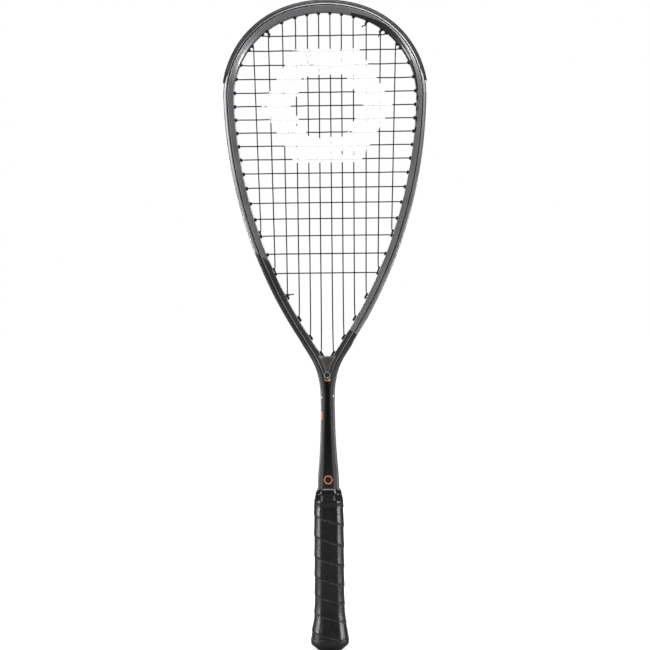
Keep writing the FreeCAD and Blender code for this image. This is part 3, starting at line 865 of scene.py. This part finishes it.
pattern = {
    "mainGapsTop": (12.0, 12.0, 12.5, 13.8, 15.0, 15.7),
    "mainGapsBottom": (11.8, 11.3, 11.8, 12.4, 12.9, 14.7),
    "crossCount": 17,
    "firstCross": 648.2,
    "crossGap": 14.0,
    "crossMiddle": 7,
    "growthAbove": 0.045,
    "growthBelow": 0.080,
    "mouth": -7.9,              # where a string leaves its barrel
    "track": 4.3,               # where it runs round the outside
    "side": 0.62,               # mains sit this far back, crosses this far forward, at the wall
    "weave": 1.2,               # control height of the weave at each crossing
    "gauge": 1.3,
    "guardEnd": 598.0, "throatEnd": 302.5,
    "bend": 0.1,                # a string bends this far outside its barrel's mouth
    "inWall": (-1.5, -6.3),     # n of its path inside the barrel
    "clear": 2.0,               # least distance of a crossing from a main's ends
    "trackStep": 6.0,
}


def runningSum(gaps):
    places = [gaps[0] / 2]
    for gap in gaps[1:]:
        places.append(places[-1] + gap)
    return places


mouth = pattern["mouth"]
mainTops = [findAlong(0, x, 0, sideAlong, mouth) for x in runningSum(pattern["mainGapsTop"])]
mainBottoms = [findAlong(0, x, sideAlong, hoopLength, mouth)
               for x in runningSum(pattern["mainGapsBottom"])]
crossHeights = [pattern["firstCross"]]
for gap in range(1, pattern["crossCount"]):
    away = gap - pattern["crossMiddle"]
    growth = pattern["growthAbove"] if away < 0 else pattern["growthBelow"]
    crossHeights.append(crossHeights[-1] - pattern["crossGap"] - growth * away * away)
crossStations = [findAlong(1, z, 0, hoopLength, mouth) for z in crossHeights]
guardEnd = findAlong(1, pattern["guardEnd"], 0, sideAlong, 0)
throatStart = (mainBottoms[4] + mainBottoms[3]) / 2
throatEnd = findAlong(1, pattern["throatEnd"], sideAlong, hoopLength, hoop["halfWidth"])

guard = {
    "half": (                       # the string track first, then out and over the face
        (3.65, 1.6), (6.65, 1.7), (7.0, 2.1), (7.0, 4.5), (6.72, 4.7), (6.72, 5.1), (7.0, 5.3),
        (7.0, 6.9), (6.85, 7.6), (6.35, 8.4), (6.0, 8.8), (5.8, 8.8), (5.65, 9.2), (5.45, 9.4),
        (4.9, 9.8), (4.65, 9.8), (4.5, 9.5), (4.3, 9.5), (4.15, 9.8), (3.55, 9.8),
        (3.3, 9.65), (3.2, 9.3), (3.2, 8.76), (4.3, 8.62), (5.65, 7.6), (5.65, 2.7), (2.65, 2.7),
    ),
    "tailLength": 12.0, "tailSteps": 8,
    "inner": 3.2, "innerAtTail": 5.0,       # the inner edge over the faces draws back
    "taperEnd": 0.7, "overFace": 8.6,
}
barrel = {
    "section": (                    # (radius, n), a closed ring round the wall of the barrel
        (0.72, -7.2), (0.95, -7.45), (1.5, -7.45), (1.72, -7.2), (1.75, -6.5), (2.15, -6.25),
        (2.35, -5.95), (2.35, -5.2), (0.72, -5.2),
    ),
    "steps": 10,
    "spareOffset": 2.5,
    "throatReach": 0.9,             # the barrels at the throat stand out further
}
stripHalf = ((3.65, 2.1), (3.5, 2.7), (2.65, 2.7))
stripGaps = (0.3, 0.15)         # from a strip's ends to the guard and to the next strip


def addBarrel(bm, along, y, side):
    # A flanged hollow barrel, spun round the line that the string takes through the wall
    x, z, heading = hoopAt(along, -barrel["throatReach"] if along > throatStart else 0.0)
    outward = Vector((side * sin(heading), 0, cos(heading)))
    sideways = Vector((side * cos(heading), 0, -sin(heading)))
    origin = Vector((side * x, y, z))
    verts, edges = closedRing(
        bm, [origin + outward * n + sideways * radius for radius, n in barrel["section"]])
    bmesh.ops.spin(bm, geom=verts + edges, cent=origin, axis=outward, angle=2 * pi,
                   steps=barrel["steps"], use_merge=True, use_duplicate=False)


def barrelsBetween(bm, low, high, side):
    here = [(along, pattern["side"]) for along in mainTops + mainBottoms]
    here += [(along, -pattern["side"]) for along in crossStations]
    here += [(along + barrel["spareOffset"], pattern["side"]) for along in mainBottoms]
    for along, y in here:
        if low < along < high:
            addBarrel(bm, along, y, side)


def makeGuard():
    bm = bmesh.new()
    profile = mirrorHalf(guard["half"])
    tailStart = guardEnd - guard["tailLength"]
    _, edges = sweepHoop(bm, profile, 0.0, tailStart)
    slot = numberRing(bm, edges, hoopAt(tailStart), profile)
    rings = []
    for step in range(1, guard["tailSteps"] + 1):
        share = step / guard["tailSteps"]
        taper = (guard["innerAtTail"] - guard["inner"]) * eased(share, 0, guard["taperEnd"])
        section = [(max(n, guard["inner"] + taper) if abs(y) > guard["overFace"] else n, y)
                   for n, y in profile]
        rings.append(hoopRing(hoopAt(tailStart + share * guard["tailLength"]), section))
    fillEnd(bm, carryRings(bm, edges, rings, slot))
    bmesh.ops.mirror(bm, geom=allOf(bm), axis="X", merge_dist=0.01)
    for side in (1, -1):
        barrelsBetween(bm, -1.0, guardEnd, side)
    newPiece("bumperGuard", bm, "root", "guardNylon", ["bumper_guard"], sharp=30)


def makeStrip(name, low, high, side, node):
    bm = bmesh.new()
    first, last = sweepHoop(bm, mirrorHalf(stripHalf), low, high)
    fillEnd(bm, first)
    fillEnd(bm, last)
    bmesh.ops.scale(bm, vec=(side, 1, 1), verts=bm.verts)
    barrelsBetween(bm, low, high, side)
    newPiece(name, bm, "root", "grommetNylon", [node])


makeGuard()
for side, word in ((1, "Right"), (-1, "Left")):
    makeStrip("grommetStrip" + word, guardEnd + stripGaps[0], throatStart - stripGaps[1], side,
              "grommet_strip_" + word.lower())
    makeStrip("throatGrommets" + word, throatStart + stripGaps[1], throatEnd, side,
              "throat_grommets_" + word.lower())
print("guard and grommets made")

bridge = {
    "rows": (                       # height, depth in the middle, depth at the legs
        (286.6, 7.75, 7.8), (290.0, 7.35, 7.5), (294.0, 6.6, 6.9), (298.0, 6.0, 6.45),
        (302.0, 5.55, 6.3), (306.0, 5.2, 6.2), (309.0, 5.0, 6.1), (310.4, 4.7, 5.9),
        (311.0, 4.1, 5.5),
    ),
    "sag": 1.5, "sagHeight": 9.0,   # hollow of the upper edge
    "leastHalf": 0.8,
    "reach": -2.9,                  # n at which the web runs into the slope of each leg
    "across": 10,
}
disc = {
    "height": 289.6,
    "section": ((0.0, 8.55), (1.1, 8.5), (1.9, 8.35), (2.6, 8.4), (3.0, 8.85), (3.4, 8.85),
                (3.65, 8.6), (3.65, 7.4)),      # radius, depth
}


def makeBridge():
    bm = bmesh.new()
    rings = []
    top = bridge["rows"][-1][0]
    for height, middle, edge in bridge["rows"]:
        along = findAlong(1, height, sideAlong, hoopLength, bridge["reach"])
        half = max(hoopAt(along, bridge["reach"])[0], bridge["leastHalf"])
        drop = bridge["sag"] * eased(height, top - bridge["sagHeight"], top)
        front = []
        for step in range(bridge["across"] + 1):
            share = 2 * step / bridge["across"] - 1
            depth = middle + (edge - middle) * share * share
            front.append((share * half, -depth, height - drop * (1 - share * share)))
        rings.append(front + [(x, -y, z) for x, y, z in reversed(front)])
    ringTube(bm, rings, fillStart=True)
    rim = [edge for edge in bm.edges if edge.is_boundary]
    bmesh.ops.triangle_fill(bm, edges=rim, use_beauty=True)
    newPiece("throatBridge", bm, "root", "bridgeLacquer", ["throat_bridge"], sharp=50)


def makeDisc():
    bm = bmesh.new()
    for side in (-1, 1):
        verts = [bm.verts.new((radius, side * y, disc["height"])) for radius, y in disc["section"]]
        edges = [bm.edges.new(pair) for pair in zip(verts, verts[1:])]
        bmesh.ops.spin(bm, geom=verts + edges, cent=(0, 0, disc["height"]), axis=(0, 1, 0),
                       angle=2 * pi, steps=36, use_merge=True, use_duplicate=False)
    newPiece("throatDiscs", bm, "root", "discInlay", sharp=40)


makeBridge()
makeDisc()
print("throat made")


def mainPlaces():
    # Each main's top and bottom bend as (x, z), left to right
    bend = mouth + pattern["bend"]
    right = [(hoopAt(top, bend)[:2], hoopAt(bottom, bend)[:2])
             for top, bottom in zip(mainTops, mainBottoms)]
    left = [((-a[0], a[1]), (-b[0], b[1])) for a, b in reversed(right)]
    return left + right


mainLines = mainPlaces()


def mainXAt(line, height):
    (topX, topZ), (bottomX, bottomZ) = line
    if not bottomZ + pattern["clear"] < height < topZ - pattern["clear"]:
        return None
    return topX + (bottomX - topX) * (topZ - height) / (topZ - bottomZ)


def wallPoints(along, side, y):
    # Where a string runs through its barrel, from the track to the mouth
    points = []
    for n in (pattern["track"], *pattern["inWall"]):
        x, z, _ = hoopAt(along, n)
        points.append((side * x, y, z))
    return points


def trackPoints(start, end, y):
    # The loop round the outside of the tube between two (along, side) places
    low, high = start[0] * start[1], end[0] * end[1]
    steps = max(2, ceil(abs(high - low) / pattern["trackStep"]))
    points = []
    for step in range(1, steps):
        along = low + (high - low) * step / steps
        x, z, _ = hoopAt(abs(along), pattern["track"])
        points.append((x if along >= 0 else -x, y, z))
    return points


def addRun(points, run, start, end, last, back, y):
    # Adds one pass over the bed, turned round when it comes back, and gives its end
    if back:
        run, start, end = run[::-1], end, start
    if last:
        points += trackPoints(last, start, y)
    points += run
    return end


def crossWeave(row, column):
    return pattern["weave"] if (row + column) % 2 == 0 else -pattern["weave"]


def mainPath():
    points, last, y = [], None, pattern["side"]
    order = [(5 - i, 1) for i in range(6)] + [(i, -1) for i in range(6)]
    for number, (index, side) in enumerate(order):
        column = 6 + index if side > 0 else 5 - index
        line = mainLines[column]
        (topX, topZ), (bottomX, bottomZ) = line
        run = wallPoints(mainTops[index], side, y) + [(topX, y, topZ)]
        for row, height in enumerate(crossHeights):
            x = mainXAt(line, height)
            if x is not None:
                run.append((x, -crossWeave(row, column), height))
        run += [(bottomX, y, bottomZ)] + wallPoints(mainBottoms[index], side, y)[::-1]
        last = addRun(points, run, (mainTops[index], side), (mainBottoms[index], side), last,
                      number % 2, y)
    return points


def crossPath():
    points, last, y = [], None, -pattern["side"]
    for row, (along, height) in enumerate(zip(crossStations, crossHeights)):
        x, z, _ = hoopAt(along, mouth + pattern["bend"])
        run = wallPoints(along, -1, y) + [(-x, y, z)]
        for column, line in enumerate(mainLines):
            place = mainXAt(line, height)
            if place is not None:
                run.append((place, crossWeave(row, column), height))
        run += [(x, y, z)] + wallPoints(along, 1, y)[::-1]
        last = addRun(points, run, (along, -1), (along, 1), last, row % 2, y)
    return points


def makeStringPiece(name, paths, nodes=(), resolution=2):
    # Round string along smooth curves, with closed ends
    curve = bpy.data.curves.new(name + "Line", "CURVE")
    curve.dimensions = "3D"
    curve.bevel_depth = pattern["gauge"] / 2 * mm
    curve.bevel_resolution = 2
    curve.use_fill_caps = True
    curve.resolution_u = resolution
    for path in paths:
        spline = curve.splines.new("NURBS")
        spline.points.add(len(path) - 1)
        for point, place in zip(spline.points, path):
            point.co = (*(value * mm for value in place), 1)
        spline.order_u = 3
        spline.use_endpoint_u = True
    holder = bpy.data.objects.new(name + "Line", curve)
    scene.collection.objects.link(holder)
    bpy.context.view_layer.update()
    evaluated = holder.evaluated_get(bpy.context.evaluated_depsgraph_get())
    mesh = bpy.data.meshes.new_from_object(evaluated)
    mesh.name = name
    bpy.data.objects.remove(holder)
    mesh.polygons.foreach_set("use_smooth", [True] * len(mesh.polygons))
    addPiece(name, mesh, "root", "stringCoat", nodes)


knots = (
    # along the hoop, side of the bed, then the tail's end from the knot
    (mainTops[3], 1, (-4.5, -0.8, -3.2)),
    (mainTops[4], 1, (-1.6, -1.0, -5.5)),
    (mainTops[4], -1, (0.6, -1.0, -4.5)),
    (mainBottoms[3], -1, (6.0, -0.8, 0.8)),
)
knotShape = {
    "inside": -0.9, "radius": 0.78, "wobble": 0.22, "halfLength": 1.0, "turns": 2, "steps": 12,
    "tailBend": 0.35, "tailLift": (0, -0.5, 0),
}


def knotPath(along, side, tail):
    # Two tight turns round the string at its barrel's mouth, and a cut tail
    x, z, heading = hoopAt(along, mouth + knotShape["inside"])
    centre = Vector((side * x, pattern["side"], z))
    axis = Vector((side * sin(heading), 0, cos(heading)))
    first = axis.orthogonal().normalized()
    second = axis.cross(first)
    points = []
    for step in range(knotShape["steps"] + 1):
        share = step / knotShape["steps"]
        turn = share * knotShape["turns"] * 2 * pi
        radius = knotShape["radius"] + knotShape["wobble"] * sin(step)
        points.append(centre + (first * cos(turn) + second * sin(turn)) * radius
                      + axis * knotShape["halfLength"] * (1 - 2 * share))
    end = centre + Vector(tail)
    points += [points[-1].lerp(end, knotShape["tailBend"]) + Vector(knotShape["tailLift"]), end]
    return [tuple(point) for point in points]


makeStringPiece("mainStrings", [mainPath()], ["main_string"])
makeStringPiece("crossStrings", [crossPath()], ["cross_string"])
makeStringPiece("stringKnots", [knotPath(*knot) for knot in knots], resolution=3)
print("strings made")

handle = {
    "stations": (                   # height, half width and half depth of the wrapped grip
        (12.3, 20.0, 17.2), (21.0, 19.0, 16.2), (31.0, 17.2, 14.7), (42.0, 16.4, 14.0),
        (54.0, 16.0, 13.8), (137.0, 16.0, 13.8), (147.0, 15.8, 13.7), (158.0, 14.8, 13.2),
        (163.0, 13.9, 12.7),
    ),
    "face": 0.5, "sides": 0.46,     # flats as shares of the half width and half depth
    "corner": 16,                   # higher is a sharper corner
    "points": 72,
    "walked": (16.0, 13.8, 720),    # half width, half depth and steps of the outline walked round
}
wrap = {
    "seams": (179.3, 157.6, 135.6, 113.7, 92.2, 71.8, 52.4, 33.2, 14.1, -5.0, -24.0),
    "lean": 0.07,                   # how much steeper the seams run over the front
    "ribbon": (                     # share of the pitch above the lower edge, offset inwards
        (0.0, 0.5), (0.012, 0.16), (0.05, 0.0), (0.16, 0.04), (0.3, 0.22), (0.6, 0.42),
        (1.0, 0.5), (1.1, 0.62), (1.1, 1.5), (0.0, 0.95),
    ),
    "stepsPerTurn": 60,
    "firstPitch": 21.7,
    "top": 158.2, "bottom": 12.4,
}
capRows = (
    # height, half width, half depth, corner
    (0.0, 12.9, 10.3, 14), (0.35, 13.4, 10.8, 14), (1.5, 14.4, 11.8, 14), (4.6, 18.2, 15.4, 14),
    (5.6, 19.2, 16.4, 14), (6.7, 19.95, 17.1, 14), (7.8, 20.1, 17.25, 14), (11.4, 20.1, 17.25, 14),
    (12.0, 19.9, 17.05, 14), (12.3, 19.4, 16.55, 14), (12.5, 18.2, 15.4, 14),
    (30.0, 15.4, 12.9, 14), (42.0, 14.4, 12.0, 14),
)
capFoot = ((0.9, 3.0), (0.7, 1.9), (0.25, 1.5), (0.0, 1.2))      # height, inset
tape = {
    "rows": (                       # height, how far it stands proud of the grip
        (150.0, 0.0), (150.12, 0.26), (150.6, 0.3), (154.4, 0.3), (154.7, 0.42), (158.6, 0.42),
        (158.9, 0.3), (162.5, 0.3), (162.9, 0.2), (163.0, 0.0),
    ),
    "inside": ((163.0, -0.9), (157.0, -0.9), (150.0, -0.9)),
}
collar = {
    "outer": ((163.05, 12.9, 12.0), (163.35, 13.55, 12.65), (164.0, 13.8, 12.9),
              (165.0, 13.75, 12.85), (166.4, 13.3, 12.4), (168.6, 12.5, 11.6),
              (169.5, 12.15, 11.25), (169.85, 11.75, 10.85)),
    "bore": ((169.8, 11.4, 10.5), (169.3, 11.2, 10.3), (163.1, 11.2, 10.3)),
    "shape": {"face": 0.62, "sides": 0.58, "corner": 22},
}


def outline(halfX, halfY, angle, face, sides, corner):
    # A point on a rounded eight-sided outline, in a given direction
    c, s = abs(cos(angle)), abs(sin(angle))
    nx, ny = (1 - sides) * halfY, (1 - face) * halfX
    length = hypot(nx, ny)
    reach = (halfX * nx + sides * halfY * ny) / length
    total = (c / halfX) ** corner + (s / halfY) ** corner
    total += ((c * nx + s * ny) / length / reach) ** corner
    radius = total ** (-1 / corner)
    return radius * cos(angle), radius * sin(angle)


def outlineRing(z, halfX, halfY, face=handle["face"], sides=handle["sides"],
                corner=handle["corner"]):
    count = handle["points"]
    return [(*outline(halfX, halfY, 2 * pi * step / count, face, sides, corner), z)
            for step in range(count)]


def gripPoint(halfX, halfY, angle):
    return outline(halfX, halfY, angle, handle["face"], handle["sides"], handle["corner"])


def walkTable():
    # Angles that step evenly round the grip's outline, from the middle of the front
    halfX, halfY, fine = handle["walked"]
    walked, places, last = 0.0, [(0.0, -pi / 2)], None
    for step in range(fine + 1):
        angle = -pi / 2 + 2 * pi * step / fine
        point = gripPoint(halfX, halfY, angle)
        if last:
            walked += hypot(point[0] - last[0], point[1] - last[1])
            places.append((walked, angle))
        last = point
    angles, index = [], 0
    for step in range(wrap["stepsPerTurn"]):
        target = walked * step / wrap["stepsPerTurn"]
        while places[index + 1][0] < target:
            index += 1
        (low, a), (high, b) = places[index], places[index + 1]
        angles.append(a + (b - a) * (target - low) / (high - low))
    return angles


def seamHeight(turns):
    # Height of the seam after a number of turns down from the first, at the front's middle
    index = min(int(turns), len(wrap["seams"]) - 2)
    share = turns - index
    return wrap["seams"][index] * (1 - share) + wrap["seams"][index + 1] * share


def makeWrap():
    bm = bmesh.new()
    angles = walkTable()
    rings = []
    total = (len(wrap["seams"]) - 2) * wrap["stepsPerTurn"]
    for step in range(wrap["stepsPerTurn"] // 2, total):
        turns = step / wrap["stepsPerTurn"]
        angle = angles[step % wrap["stepsPerTurn"]]
        leaned = turns + wrap["lean"] * sin(2 * pi * turns)
        low = seamHeight(leaned)
        high = seamHeight(leaned - 1) if leaned > 1 else low + wrap["firstPitch"]
        ring = []
        for share, inwards in wrap["ribbon"]:
            z = low + (high - low) * share
            halfX, halfY = fromTable(handle["stations"], z)
            ring.append((*gripPoint(halfX - inwards, halfY - inwards, angle), z))
        rings.append(ring)
    across = bm.verts.layers.float.new("across")
    slot = bm.verts.layers.int.new("slot")
    ringTube(bm, rings, fillStart=True, fillFinish=True)
    for vert in bm.verts:
        vert[across] = wrap["ribbon"][vert[slot]][0]
    for height, up in ((wrap["top"], 1), (wrap["bottom"], -1)):
        cut = bmesh.ops.bisect_plane(bm, geom=allOf(bm), dist=1e-5, plane_co=(0, 0, height),
                                     plane_no=(0, 0, up), clear_outer=True)["geom_cut"]
        bmesh.ops.holes_fill(bm, edges=ofKind(cut, bmesh.types.BMEdge), sides=0)
    newPiece("gripWrap", bm, "root", "wrapUrethane", ["grip_wrap"], sharp=40)


def makeSleeve(name, rows, body, slot, material, node, **shape):
    # A closed sleeve: up the outside and down the inside
    bm = bmesh.new()
    rings = [outlineRing(*row, **shape) for row in rows]
    ringTube(bm, rings + rings[:1])
    newPiece(name, bm, body, material, [node], sharp=40)


def makeTape():
    rows = []
    for height, proud in tape["rows"] + tape["inside"]:
        halfX, halfY = fromTable(handle["stations"], height)
        rows.append((height, halfX + proud, halfY + proud))
    makeSleeve("finishingTape", rows, "root", "tape", "tapeVinyl", "finishing_tape")


def makeCap():
    bm = bmesh.new()
    _, halfX, halfY, _ = capRows[0]
    rings = [outlineRing(height, halfX - inset, halfY - inset) for height, inset in capFoot]
    rings += [outlineRing(z, x, y, corner=corner) for z, x, y, corner in capRows]
    ringTube(bm, rings, fillStart=True, fillFinish=True)
    newPiece("buttCap", bm, "root", "capNylon", ["butt_cap"], sharp=30)


makeWrap()
makeTape()
makeCap()
makeSleeve("gripCollar", collar["outer"] + collar["bore"], "collar", "collar", "collarRubber",
           "grip_collar", **collar["shape"])
print("handle made")

inside = {
    "pallet_front": "palletFoam", "pallet_back": "palletFoam", "shaft_end_plug": "plugFoam",
    "butt_cap_staples": "stapleSteel", "grip_tack": "stapleSteel",
}
for node, finish in inside.items():
    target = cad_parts[node]
    target.data.materials.clear()
    target.data.materials.append(materials[finish])
print("inner nodes finished")
